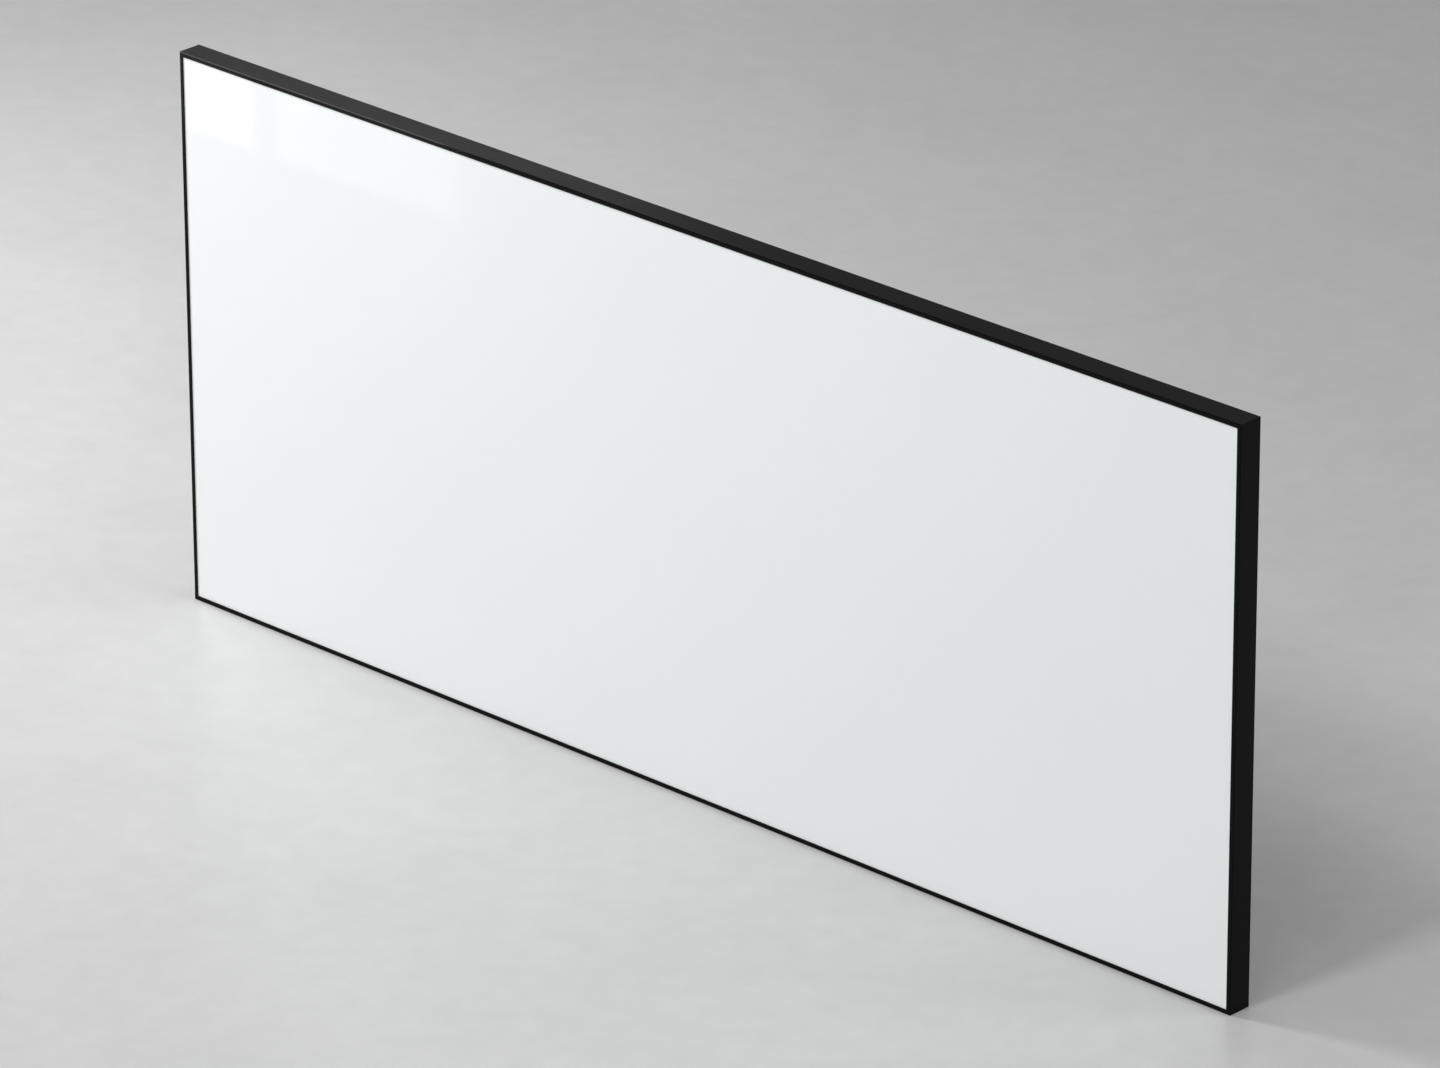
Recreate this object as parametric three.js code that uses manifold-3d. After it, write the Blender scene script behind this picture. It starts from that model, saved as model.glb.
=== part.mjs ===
// A fixed frame projector screen: a white projection sheet stretched over a slim
// black aluminium frame. The sheet's black hems wrap round four mitred rails and
// hold tension rods behind the frame, which plastic clips pull inwards. Four trims
// cover the hems and frame the picture. The screen hangs on two keyhole plates.
//
// Millimetres, +Z up, front towards -Y. The origin is the middle of the bottom edge.

import * as THREE from "three";
import { mergeVertices } from "three/addons/utils/BufferGeometryUtils.js";
import Module from "manifold-3d";

const wasm = await Module();
wasm.setup();

// Whole screen
const viewWidth = 2337;
const viewHeight = 994;
const bezelWidth = 8;
const frameDepth = 46;
const fitGap = 0.3;

// Outer trim
const trimWall = 1.6;
const trimReturn = 5;
const trimChamfer = 1.2;
const lipEase = 0.4;

// Projection sheet and its hems
const sheetThickness = 0.5;
const sheetTuck = 4;
const hemThickness = 0.5;
const hemLap = 18;
const hemBend = 1;
const hemOverhang = 0.8;
const pocketWrap = THREE.MathUtils.degToRad(280);

// Rail extrusion
const railWidth = 42;
const railWall = 1.8;
const railRound = 1.5;
const chamberDepth = 18;
const outerLip = 6;
const clipSlotWidth = 14;
const boltChannelWidth = 16.3;
const boltSlotWidth = 9;

// Tension rods and clips
const rodRadius = 2;
const rodEndInset = 24;
const clipPlay = 1.1;
const clipThickness = 1.6;
const clipWidth = 24;
const clipBend = 1.2;
const clipEndInset = 130;
const clipPairsLongSide = 5;
const clipsShortSide = 5;
const hookStart = THREE.MathUtils.degToRad(165);
const hookExit = THREE.MathUtils.degToRad(300);

// Corner brackets
const bracketReach = 95;
const bracketThickness = 5;
const setScrewInset = 15;
const setScrewPitch = 22;

// Screws and sliding nuts
const screwRadius = 3;
const screwLength = 11;
const socketRadius = 1.7;
const socketDepth = 2.6;
const nutWidth = 14;
const nutLength = 20;
const nutThickness = 3.5;

// Support bar and its plates
const barWidth = 30;
const barDepth = 15;
const barWall = 1.5;
const plateThickness = 2;
const plateEdgeInset = 0.9;
const barPlateWidth = 50;
const barPlateLap = 45;
const barScrewInset = 14;
const barScrewPitch = 18;
const railScrewPitch = 26;

// Hanger plates
const hangerWidth = 60;
const hangerHeight = 50;
const hangerClipPitches = 3;
const hangerScrewPitch = 36;
const keyholeRadius = 6;
const keyholeSlotWidth = 6;
const keyholeSlotLength = 12;
const keyholeEdge = 10;

// Facets
const roundSegments = 12;
const bendSteps = 3;
const pocketSteps = 6;
const hexSides = 6;
const weldDistance = 1e-4;

// Sizes that follow. u runs inwards from the frame's outer edge, and v runs back
// from the front face.
const outerWidth = viewWidth + 2 * bezelWidth;
const outerHeight = viewHeight + 2 * bezelWidth;
const mitreSetback = fitGap / Math.SQRT2;

const sheetEdge = bezelWidth - sheetTuck;
const sheetFront = trimWall + fitGap;
const hemFront = sheetFront + sheetThickness + fitGap + hemThickness / 2;
const hemSide = trimWall + fitGap + hemThickness / 2;
const hemBack = frameDepth - hemSide;

const railOuter = hemSide + hemThickness / 2 + fitGap;
const railInner = railOuter + railWidth;
const railFront = hemFront + hemThickness / 2 + fitGap;
const railBack = frameDepth - railOuter;
const flangeFront = railBack - railWall;
const webFront = railFront + railWall + chamberDepth;
const webBack = webFront + railWall;
const clipSlotStart = railOuter + outerLip;
const clipSlotEnd = clipSlotStart + clipSlotWidth;
const boltChannelEnd = railInner - railWall;
const boltChannelStart = boltChannelEnd - boltChannelWidth;
const boltLine = boltChannelStart + boltChannelWidth / 2;
const boltSlotStart = boltLine - boltSlotWidth / 2;
const boltSlotEnd = boltLine + boltSlotWidth / 2;

const pocketRadius = rodRadius + fitGap + hemThickness / 2;
const pocketOuter = pocketRadius + hemThickness / 2;
const hookRadius = pocketOuter + fitGap + clipThickness / 2;
const rodU = clipSlotStart + clipPlay + hookRadius + clipThickness / 2;
const rodV = railBack - pocketOuter;

const plateFront = railBack + fitGap;
const plateBack = plateFront + plateThickness;
const nutBack = flangeFront - fitGap;
const plateEdge = boltChannelStart + plateEdgeInset;

// Finishes
const finish = (color, roughness, metalness) =>
  new THREE.MeshStandardMaterial({ color, roughness, metalness });
const blackTrim = finish(0x101113, 0.38, 0.2);
const blackRail = finish(0x1a1b1d, 0.5, 0.3);
const zincSteel = finish(0xa7aaad, 0.4, 0.9);
const whiteSheet = finish(0xeef1f1, 0.3, 0);
const blackHem = finish(0x131313, 0.85, 0);
const glassFibre = finish(0xcfc9b4, 0.5, 0);
const blackNylon = finish(0x18181a, 0.55, 0);

// The four sides, clockwise from the top as seen from the front. Inside a side's
// group X runs along the side and Z points away from the middle of the screen.
// A long side has an even number of clips, which leaves its middle free for the bar.
const longSide = { length: outerWidth, reach: outerHeight / 2, clips: 2 * clipPairsLongSide };
const shortSide = { length: outerHeight, reach: outerWidth / 2, clips: clipsShortSide };
const sides = [
  { name: "top", turn: 0, ...longSide },
  { name: "right", turn: Math.PI / 2, ...shortSide },
  { name: "bottom", turn: Math.PI, ...longSide },
  { name: "left", turn: -Math.PI / 2, ...shortSide },
];

// The four corners. At no turn a bracket's arms run to +X and -Z.
const corners = [
  { name: "top_left", turn: 0, x: -outerWidth / 2, z: outerHeight },
  { name: "top_right", turn: Math.PI / 2, x: outerWidth / 2, z: outerHeight },
  { name: "bottom_right", turn: Math.PI, x: outerWidth / 2, z: 0 },
  { name: "bottom_left", turn: -Math.PI / 2, x: -outerWidth / 2, z: 0 },
];

// Turns a closed geometry into a solid that can be joined and cut.
function solidOf(geometry) {
  geometry.deleteAttribute("normal");
  geometry.deleteAttribute("uv");
  const merged = mergeVertices(geometry, weldDistance);
  const mesh = new wasm.Mesh({
    numProp: 3,
    vertProperties: new Float32Array(merged.getAttribute("position").array),
    triVerts: new Uint32Array(merged.index.array),
  });
  return new wasm.Manifold(mesh);
}

// Joins pieces to a body, then cuts others away.
function joinAndCut(body, joined, cut) {
  let solid = solidOf(body);
  for (const piece of joined) {
    solid = solid.add(solidOf(piece));
  }
  for (const piece of cut) {
    solid = solid.subtract(solidOf(piece));
  }
  const mesh = solid.getMesh();
  const geometry = new THREE.BufferGeometry();
  geometry.setAttribute("position", new THREE.BufferAttribute(mesh.vertProperties, 3));
  geometry.setIndex(new THREE.BufferAttribute(mesh.triVerts, 1));
  geometry.computeVertexNormals();
  return geometry;
}

// A closed outline through corner points.
function outlineOf(points) {
  return new THREE.Shape(points.map(([x, y]) => new THREE.Vector2(x, y)));
}

// A rectangle between its lowest and highest corners.
function rectangle(lowX, lowY, highX, highY) {
  return outlineOf([
    [lowX, lowY],
    [highX, lowY],
    [highX, highY],
    [lowX, highY],
  ]);
}

// Runs a path up to a corner and round it, towards the point after the corner.
function bendRound(path, corner, next, radius) {
  const start = path.currentPoint.clone().sub(corner).setLength(radius).add(corner);
  const end = next.clone().sub(corner).setLength(radius).add(corner);
  path.lineTo(start.x, start.y);
  path.quadraticCurveTo(corner.x, corner.y, end.x, end.y);
}

// The outline of a strip of even thickness that follows a path.
function stripOutline(path, thickness, steps) {
  const points = path.getPoints(steps);
  const oneSide = [];
  const otherSide = [];
  points.forEach((point, i) => {
    const before = points[Math.max(i - 1, 0)];
    const after = points[Math.min(i + 1, points.length - 1)];
    const into = (i === 0 ? after.clone().sub(point) : point.clone().sub(before)).normalize();
    const out = (after === point ? into.clone() : after.clone().sub(point)).normalize();
    const across = new THREE.Vector2(-into.y - out.y, into.x + out.x).normalize();
    const half = thickness / 2 / across.dot(new THREE.Vector2(-into.y, into.x));
    oneSide.push(point.clone().addScaledVector(across, half));
    otherSide.unshift(point.clone().addScaledVector(across, -half));
  });
  return new THREE.Shape([...oneSide, ...otherSide]);
}

// A (u, v) section run along a whole side, with its ends mitred.
function mitredRun(section, side) {
  const geometry = new THREE.ExtrudeGeometry(section, {
    depth: 1,
    bevelEnabled: false,
    curveSegments: bendSteps,
  });
  const position = geometry.getAttribute("position");
  for (let i = 0; i < position.count; i += 1) {
    const u = position.getX(i);
    const v = position.getY(i);
    const end = position.getZ(i) > 0 ? 1 : -1;
    const along = end * (side.length / 2 - u - mitreSetback);
    position.setXYZ(i, along, v - frameDepth / 2, side.reach - u);
  }
  geometry.computeVertexNormals();
  return geometry;
}

// A (u, v) section with square ends, centred on its place along a side.
function shortRun(section, length) {
  const geometry = new THREE.ExtrudeGeometry(section, { depth: length, bevelEnabled: false });
  geometry.translate(0, 0, -length / 2);
  geometry.rotateY(Math.PI / 2);
  return geometry;
}

// A flat plate drawn in x and z, with its wall side at the depth that is given.
function plateAt(shape, thickness, back) {
  const geometry = new THREE.ExtrudeGeometry(shape, {
    depth: thickness,
    bevelEnabled: false,
    curveSegments: roundSegments,
  });
  geometry.rotateX(Math.PI / 2);
  geometry.translate(0, back - frameDepth / 2, 0);
  return geometry;
}

// A round or hexagonal bar that runs from front to back at (x, z).
function barThrough(x, z, radius, from, to, segments) {
  const geometry = new THREE.CylinderGeometry(radius, radius, to - from, segments);
  geometry.translate(x, (from + to) / 2 - frameDepth / 2, z);
  return geometry;
}

function screwAt(x, z, from, to) {
  return barThrough(x, z, screwRadius, from, to, roundSegments);
}

// The hexagonal key socket in a screw's rear end, cut a little past that end.
function socketAt(x, z, back) {
  return barThrough(x, z, socketRadius, back - socketDepth, back + fitGap, hexSides);
}

function nutAt(x, z) {
  const geometry = new THREE.BoxGeometry(nutLength, nutThickness, nutWidth);
  geometry.translate(x, nutBack - nutThickness / 2 - frameDepth / 2, z);
  return geometry;
}

// An L section: the narrow front lip, the outer wall and a short rear return.
function trimSection() {
  return outlineOf([
    [trimChamfer, 0],
    [bezelWidth - lipEase, 0],
    [bezelWidth, lipEase],
    [bezelWidth, trimWall],
    [trimWall, trimWall],
    [trimWall, frameDepth - trimWall],
    [trimReturn, frameDepth - trimWall],
    [trimReturn, frameDepth],
    [0, frameDepth],
    [0, trimChamfer],
  ]);
}

// A closed box chamber in front, and a clip channel and a bolt channel behind.
function railSection() {
  const frontCorner = new THREE.Vector2(railOuter, railFront);
  const backCorner = new THREE.Vector2(railOuter, railBack);
  const section = new THREE.Shape();
  section.moveTo(railInner, railFront);
  bendRound(section, frontCorner, backCorner, railRound);
  bendRound(section, backCorner, new THREE.Vector2(clipSlotStart, railBack), railRound);
  const rest = [
    [clipSlotStart, railBack],
    [clipSlotStart, flangeFront],
    [railOuter + railWall, flangeFront],
    [railOuter + railWall, webBack],
    [boltChannelStart - railWall, webBack],
    [boltChannelStart - railWall, flangeFront],
    [clipSlotEnd, flangeFront],
    [clipSlotEnd, railBack],
    [boltSlotStart, railBack],
    [boltSlotStart, flangeFront],
    [boltChannelStart, flangeFront],
    [boltChannelStart, webBack],
    [boltChannelEnd, webBack],
    [boltChannelEnd, flangeFront],
    [boltSlotEnd, flangeFront],
    [boltSlotEnd, railBack],
    [railInner, railBack],
  ];
  rest.forEach(([u, v]) => section.lineTo(u, v));
  const chamberFront = railFront + railWall;
  const chamber = rectangle(railOuter + railWall, chamberFront, railInner - railWall, webFront);
  section.holes.push(chamber);
  return section;
}

// A hem lies behind the sheet's edge, wraps the rail and ends in the rod's pocket.
function hemSection() {
  const lapEnd = sheetEdge + hemLap;
  const foldU = clipSlotStart + hemOverhang;
  const frontCorner = new THREE.Vector2(hemSide, hemFront);
  const backCorner = new THREE.Vector2(hemSide, hemBack);
  const path = new THREE.Path();
  path.moveTo(lapEnd, hemFront);
  bendRound(path, frontCorner, backCorner, hemBend);
  bendRound(path, backCorner, new THREE.Vector2(foldU, hemBack), hemBend);
  path.lineTo(foldU, hemBack);
  const toFold = new THREE.Vector2(foldU - rodU, hemBack - rodV);
  const pocketStart = toFold.angle() - Math.acos(pocketRadius / toFold.length());
  path.absarc(rodU, rodV, pocketRadius, pocketStart, pocketStart - pocketWrap, true);
  return stripOutline(path, hemThickness, pocketSteps);
}

// A clip hooks round the pocket, rises out of its channel and grips the middle lip.
function clipSection() {
  const riser = clipSlotEnd - fitGap - clipThickness / 2;
  const bridge = plateFront + clipThickness / 2;
  const toe = boltSlotStart + fitGap + clipThickness / 2;
  const exitU = rodU + hookRadius * Math.cos(hookExit);
  const exitV = rodV + hookRadius * Math.sin(hookExit);
  const riserFoot = new THREE.Vector2(riser, exitV - (riser - exitU) / Math.tan(hookExit));
  const riserTop = new THREE.Vector2(riser, bridge);
  const toeTop = new THREE.Vector2(toe, bridge);
  const toeTip = new THREE.Vector2(toe, flangeFront);
  const path = new THREE.Path();
  path.absarc(rodU, rodV, hookRadius, hookStart, hookExit, false);
  bendRound(path, riserFoot, riserTop, clipBend);
  bendRound(path, riserTop, toeTop, clipBend);
  bendRound(path, toeTop, toeTip, clipBend);
  path.lineTo(toeTip.x, toeTip.y);
  return stripOutline(path, clipThickness, bendSteps);
}

function rod(side) {
  const length = side.length - 2 * rodEndInset;
  const geometry = new THREE.CylinderGeometry(rodRadius, rodRadius, length, roundSegments);
  geometry.rotateZ(Math.PI / 2);
  geometry.translate(0, rodV - frameDepth / 2, side.reach - rodU);
  return geometry;
}

function clipPitch(side) {
  return (side.length - 2 * clipEndInset) / (side.clips - 1);
}

// Where the clips of a side stand, from one end to the other.
function clipPlaces(side) {
  const middle = (side.clips - 1) / 2;
  return Array.from({ length: side.clips }, (_, i) => (i - middle) * clipPitch(side));
}

// An L plate that slides into both bolt channels, with its four set screws in.
function cornerBracket() {
  const near = boltChannelStart + fitGap;
  const far = boltChannelEnd - fitGap;
  const plate = outlineOf([
    [near, -near],
    [bracketReach, -near],
    [bracketReach, -far],
    [far, -far],
    [far, -bracketReach],
    [near, -bracketReach],
  ]);
  const last = bracketReach - setScrewInset;
  const stations = [last, last - setScrewPitch];
  const places = [
    ...stations.map((along) => [along, -boltLine]),
    ...stations.map((along) => [boltLine, -along]),
  ];
  const screws = places.map(([x, z]) => screwAt(x, z, webBack + fitGap, nutBack));
  const sockets = places.map(([x, z]) => socketAt(x, z, nutBack));
  return joinAndCut(plateAt(plate, bracketThickness, nutBack), screws, sockets);
}

// Where the screws of a support bar's plate go into the bar, as a distance from
// the frame's outer edge.
function barScrewStations() {
  const first = railInner + fitGap + barScrewInset;
  return [first, first + barScrewPitch];
}

// A square tube behind the sheet, with clearance holes for its plates' screws.
function supportBar() {
  const foot = railInner + fitGap;
  const back = railBack - frameDepth / 2;
  const half = barWidth / 2;
  const tube = rectangle(-half, back - barDepth, half, back);
  const bore = rectangle(-half + barWall, back - barDepth + barWall, half - barWall, back - barWall);
  tube.holes.push(bore);
  const geometry = new THREE.ExtrudeGeometry(tube, {
    depth: outerHeight - 2 * foot,
    bevelEnabled: false,
  });
  geometry.translate(0, 0, foot);
  const heights = barScrewStations().flatMap((u) => [u, outerHeight - u]);
  const holes = heights.map((z) =>
    barThrough(0, z, screwRadius + fitGap, railBack - 2 * barWall, plateFront, roundSegments),
  );
  return joinAndCut(geometry, [], holes);
}

// A plate that ties the support bar to a rail, with its screws and nuts in.
function barPlate() {
  const half = barPlateWidth / 2;
  const plate = rectangle(-half, -(railInner + barPlateLap), half, -plateEdge);
  const nutOffsets = [-railScrewPitch / 2, railScrewPitch / 2];
  const places = [
    ...nutOffsets.map((x) => [x, -boltLine]),
    ...barScrewStations().map((u) => [0, -u]),
  ];
  const screws = places.map(([x, z]) => screwAt(x, z, plateBack - screwLength, plateBack));
  const nuts = nutOffsets.map((x) => nutAt(x, -boltLine));
  const sockets = places.map(([x, z]) => socketAt(x, z, plateBack));
  return joinAndCut(plateAt(plate, plateThickness, plateBack), [...screws, ...nuts], sockets);
}

// The round hole lets a wall screw's head through, and the slot above it holds.
function keyholeOutline() {
  const centre = -(plateEdge + hangerHeight - keyholeEdge - keyholeRadius);
  const slotTop = centre + keyholeSlotLength;
  const opening = Math.asin(keyholeSlotWidth / 2 / keyholeRadius);
  const outline = new THREE.Path();
  outline.absarc(0, centre, keyholeRadius, Math.PI / 2 - opening, Math.PI / 2 + opening, true);
  outline.absarc(0, slotTop, keyholeSlotWidth / 2, Math.PI, 0, true);
  outline.closePath();
  return outline;
}

// A plate on the top rail with a keyhole, and with its screws and nuts in.
function hangerPlate() {
  const half = hangerWidth / 2;
  const plate = rectangle(-half, -(plateEdge + hangerHeight), half, -plateEdge);
  plate.holes.push(keyholeOutline());
  const places = [-hangerScrewPitch / 2, hangerScrewPitch / 2];
  const screws = places.map((x) =>
    screwAt(x, -boltLine, plateBack - screwLength, plateBack),
  );
  const nuts = places.map((x) => nutAt(x, -boltLine));
  const sockets = places.map((x) => socketAt(x, -boltLine, plateBack));
  return joinAndCut(plateAt(plate, plateThickness, plateBack), [...screws, ...nuts], sockets);
}

const screen = new THREE.Group();

function addPiece(parent, name, geometry, material) {
  const mesh = new THREE.Mesh(geometry, material);
  mesh.name = name;
  parent.add(mesh);
  return mesh;
}

const clipShape = clipSection();
const sideGroups = {};
for (const side of sides) {
  const group = new THREE.Group();
  group.rotation.y = side.turn;
  group.position.z = outerHeight / 2;
  screen.add(group);
  sideGroups[side.name] = group;
  addPiece(group, `trim_${side.name}`, mitredRun(trimSection(), side), blackTrim);
  addPiece(group, `rail_${side.name}`, mitredRun(railSection(), side), blackRail);
  addPiece(group, `hem_${side.name}`, mitredRun(hemSection(), side), blackHem);
  addPiece(group, `tension_rod_${side.name}`, rod(side), glassFibre);
  clipPlaces(side).forEach((along, i) => {
    const number = String(i + 1).padStart(2, "0");
    const name = `tension_clip_${side.name}_${number}`;
    const clip = addPiece(group, name, shortRun(clipShape, clipWidth), blackNylon);
    clip.position.set(along, -frameDepth / 2, side.reach);
  });
}

for (const corner of corners) {
  const bracket = addPiece(screen, `corner_bracket_${corner.name}`, cornerBracket(), zincSteel);
  bracket.rotation.y = corner.turn;
  bracket.position.set(corner.x, 0, corner.z);
}

const sheetWidth = outerWidth - 2 * sheetEdge;
const sheetHeight = outerHeight - 2 * sheetEdge;
const sheetPanel = new THREE.BoxGeometry(sheetWidth, sheetThickness, sheetHeight);
const sheet = addPiece(screen, "screen_sheet", sheetPanel, whiteSheet);
sheet.position.set(0, sheetFront + sheetThickness / 2 - frameDepth / 2, outerHeight / 2);

addPiece(screen, "support_bar", supportBar(), blackRail);
for (const side of [sides[0], sides[2]]) {
  const plate = addPiece(sideGroups[side.name], `bar_plate_${side.name}`, barPlate(), zincSteel);
  plate.position.z = side.reach;
}

const hangerOffset = hangerClipPitches * clipPitch(sides[0]);
for (const [name, x] of [["left", -hangerOffset], ["right", hangerOffset]]) {
  const hanger = addPiece(sideGroups.top, `hanger_plate_${name}`, hangerPlate(), zincSteel);
  hanger.position.set(x, 0, sides[0].reach);
}

export default screen;
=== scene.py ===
# %% [markdown]
# # A fixed frame projector screen
#
# A fixed frame screen is a sheet of white projection fabric that a slim black
# frame holds flat. From the front there is little to see: the sheet, a narrow
# black lip round it, and the frame's depth. Behind it is a small machine. Four
# aluminium rails carry the load, the sheet's black hems run round them, and
# plastic clips pull a rod in each hem inwards, which keeps the sheet taut.
#
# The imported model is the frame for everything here. Its sizes are in metres, X
# runs along the screen, Y from the picture to the wall, and Z up.

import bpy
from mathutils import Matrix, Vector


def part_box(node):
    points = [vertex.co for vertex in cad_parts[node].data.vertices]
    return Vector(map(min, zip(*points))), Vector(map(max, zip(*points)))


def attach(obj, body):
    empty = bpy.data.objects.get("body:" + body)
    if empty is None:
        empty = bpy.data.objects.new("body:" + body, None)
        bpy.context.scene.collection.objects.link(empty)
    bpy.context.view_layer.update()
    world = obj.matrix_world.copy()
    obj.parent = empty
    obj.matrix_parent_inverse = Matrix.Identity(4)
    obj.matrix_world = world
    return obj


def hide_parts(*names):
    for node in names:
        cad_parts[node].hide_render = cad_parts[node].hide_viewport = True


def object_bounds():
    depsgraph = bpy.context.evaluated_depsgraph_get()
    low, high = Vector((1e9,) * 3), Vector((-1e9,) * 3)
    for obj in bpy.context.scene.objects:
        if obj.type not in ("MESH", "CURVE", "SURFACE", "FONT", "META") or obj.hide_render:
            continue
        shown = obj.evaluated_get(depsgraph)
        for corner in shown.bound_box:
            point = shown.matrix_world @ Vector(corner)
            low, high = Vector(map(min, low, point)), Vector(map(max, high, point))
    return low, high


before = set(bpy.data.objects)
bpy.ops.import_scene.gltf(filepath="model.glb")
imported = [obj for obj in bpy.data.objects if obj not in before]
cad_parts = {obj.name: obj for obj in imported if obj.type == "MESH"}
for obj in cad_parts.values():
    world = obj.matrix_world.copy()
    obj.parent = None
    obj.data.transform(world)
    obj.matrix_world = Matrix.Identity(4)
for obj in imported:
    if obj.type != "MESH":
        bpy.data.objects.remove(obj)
cad_low, cad_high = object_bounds()
print("CAD box", [round(v, 4) for v in cad_low], [round(v, 4) for v in cad_high])

# %% Bring in the tools
import math

import bmesh
import bpy
from mathutils import Matrix, Vector

# %% [markdown]
# ## Sizes
#
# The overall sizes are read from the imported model, so the looks follow it. The
# section of each piece is drawn in two directions: u runs inwards from the
# frame's outer edge, and v runs back from the front face. Each piece is made
# lying along X and then set on its side of the frame.

# %% Overall sizes and the rail's place, from the model
MM = 0.001
WIDTH = cad_high.x - cad_low.x
HEIGHT = cad_high.z - cad_low.z
DEPTH = cad_high.y - cad_low.y
FIT_GAP = 0.3 * MM
MITRE_SETBACK = FIT_GAP / math.sqrt(2)

rail_low, rail_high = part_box("rail_top")
RAIL_OUTER = HEIGHT - rail_high.z
RAIL_INNER = HEIGHT - rail_low.z
RAIL_FRONT = rail_low.y + DEPTH / 2
RAIL_BACK = rail_high.y + DEPTH / 2
print("rail u from", round(RAIL_OUTER, 4), "to", round(RAIL_INNER, 4))
print("rail v from", round(RAIL_FRONT, 4), "to", round(RAIL_BACK, 4))

# %% The four sides, clockwise from the top as seen from the front
SIDES = {
    "top": {"turn": 0, "length": WIDTH, "reach": HEIGHT / 2, "clips": 10},
    "right": {"turn": math.pi / 2, "length": HEIGHT, "reach": WIDTH / 2, "clips": 5},
    "bottom": {"turn": math.pi, "length": WIDTH, "reach": HEIGHT / 2, "clips": 10},
    "left": {"turn": -math.pi / 2, "length": HEIGHT, "reach": WIDTH / 2, "clips": 5},
}


def set_on_side(mesh, side, along=0.0, v=0.0, u=0.0):
    """Moves a mesh, whose X runs along the side and Z outwards, to its place on a side."""
    turn = Matrix.Rotation(SIDES[side]["turn"], 4, "Y")
    mesh.transform(Matrix.Translation((along, v - DEPTH / 2, SIDES[side]["reach"] - u)))
    mesh.transform(Matrix.Translation((0, 0, HEIGHT / 2)) @ turn)
    return mesh


for side, facts in SIDES.items():
    print(side, "is", round(facts["length"] / MM, 1), "mm long and has", facts["clips"], "clips")


# %% [markdown]
# ## The camera
#
# The photograph looks down on the screen from its right, from far away with a
# long lens: the upright edges stay almost parallel. A camera can be placed by eye,
# but eight corners in the picture pin it down much better. The angles, the
# distance and the lens were worked out from where they lie in the 1440 by 1068
# picture, and they are given in terms of the screen's height.

# %% The camera at the photograph's angle
AZIMUTH = math.radians(43.55)
ELEVATION = math.radians(23.75)
ROLL = math.radians(-0.24)
DISTANCE = 15.483 * HEIGHT
AIM = Vector((0.053, 0, 0.479)) * HEIGHT
FOCAL_PIXELS = 9612
PICTURE_WIDTH = 1440
SENSOR_WIDTH = 36
FAR_CLIP = 200


def camera_matrix():
    """Rolls the camera, moves it back from where it aims, tips it down and turns it round."""
    turn = Matrix.Rotation(AZIMUTH, 4, "Z") @ Matrix.Rotation(math.pi / 2 - ELEVATION, 4, "X")
    back = Matrix.Translation((0, 0, DISTANCE)) @ Matrix.Rotation(ROLL, 4, "Z")
    return Matrix.Translation(AIM) @ turn @ back


camera_data = bpy.data.cameras.new("camera")
camera_data.sensor_fit = "HORIZONTAL"
camera_data.sensor_width = SENSOR_WIDTH
camera_data.lens = FOCAL_PIXELS / PICTURE_WIDTH * SENSOR_WIDTH
camera_data.clip_end = FAR_CLIP
camera = bpy.data.objects.new("camera", camera_data)
bpy.context.collection.objects.link(camera)
camera.matrix_world = camera_matrix()
bpy.context.scene.camera = camera
print("lens", round(camera_data.lens, 1), "mm, distance", round(DISTANCE, 2), "m")

# %% [markdown]
# ## Helpers for materials
#
# Every finish is a small tree of nodes. A few helpers keep the trees readable:
# they add a node and join its inputs, make noise and mix. A texture is a function
# that gives three values from 0 to 1: a shade, a wear and a relief. One function
# turns a texture into a material, with a range for each of the three.


# %% Add a node, and join or set its inputs
def add_node(tree, kind, inputs=None, **settings):
    """Adds a node. An input that is given a socket is joined to it."""
    made = tree.nodes.new(kind)
    for name, value in settings.items():
        setattr(made, name, value)
    for key, value in (inputs or {}).items():
        if isinstance(value, bpy.types.NodeSocket):
            tree.links.new(value, made.inputs[key])
        else:
            made.inputs[key].default_value = value
    return made


def calc(tree, operation, *values):
    """One step of arithmetic, as a node."""
    return add_node(tree, "ShaderNodeMath", dict(enumerate(values)), operation=operation).outputs[0]


def mixed(tree, first, share, second):
    """A share of one value, and the rest of another."""
    return calc(tree, "ADD", calc(tree, "MULTIPLY", first, share), calc(tree, "MULTIPLY", second, 1 - share))


def parted(tree, vector):
    """The three parts of a vector."""
    return add_node(tree, "ShaderNodeSeparateXYZ", {"Vector": vector}).outputs


def vector_of(tree, **parts):
    """A vector from its parts."""
    return add_node(tree, "ShaderNodeCombineXYZ", parts).outputs[0]


# %% Noise, in the object's space or along a run
NOISE_ROUGHNESS = 0.55
NOISE_LOW = 0.25
NOISE_HIGH = 0.75


def object_place(tree, scale):
    """Object coordinates, scaled alike along every axis."""
    place = add_node(tree, "ShaderNodeTexCoord").outputs["Object"]
    return add_node(tree, "ShaderNodeMapping", {"Vector": place, "Scale": (scale, scale, scale)}).outputs[0]


def run_place(tree):
    """Where a point lies on its side: along it, in depth and inwards."""
    return add_node(tree, "ShaderNodeAttribute", attribute_name="run").outputs["Vector"]


def noise(tree, place, detail):
    """Even noise from 0 to 1 at the scale of the place that it gets."""
    inputs = {"Vector": place, "Scale": 1.0, "Detail": detail, "Roughness": NOISE_ROUGHNESS}
    return add_node(tree, "ShaderNodeTexNoise", inputs).outputs["Fac"]


def object_noise(tree, scale, detail):
    """Noise in the object's own space."""
    return noise(tree, object_place(tree, scale), detail)


def run_noise(tree, scale, detail):
    """Noise that follows a long piece, with a scale for each of its directions."""
    place = add_node(tree, "ShaderNodeMapping", {"Vector": run_place(tree), "Scale": scale}).outputs[0]
    return noise(tree, place, detail)


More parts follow.
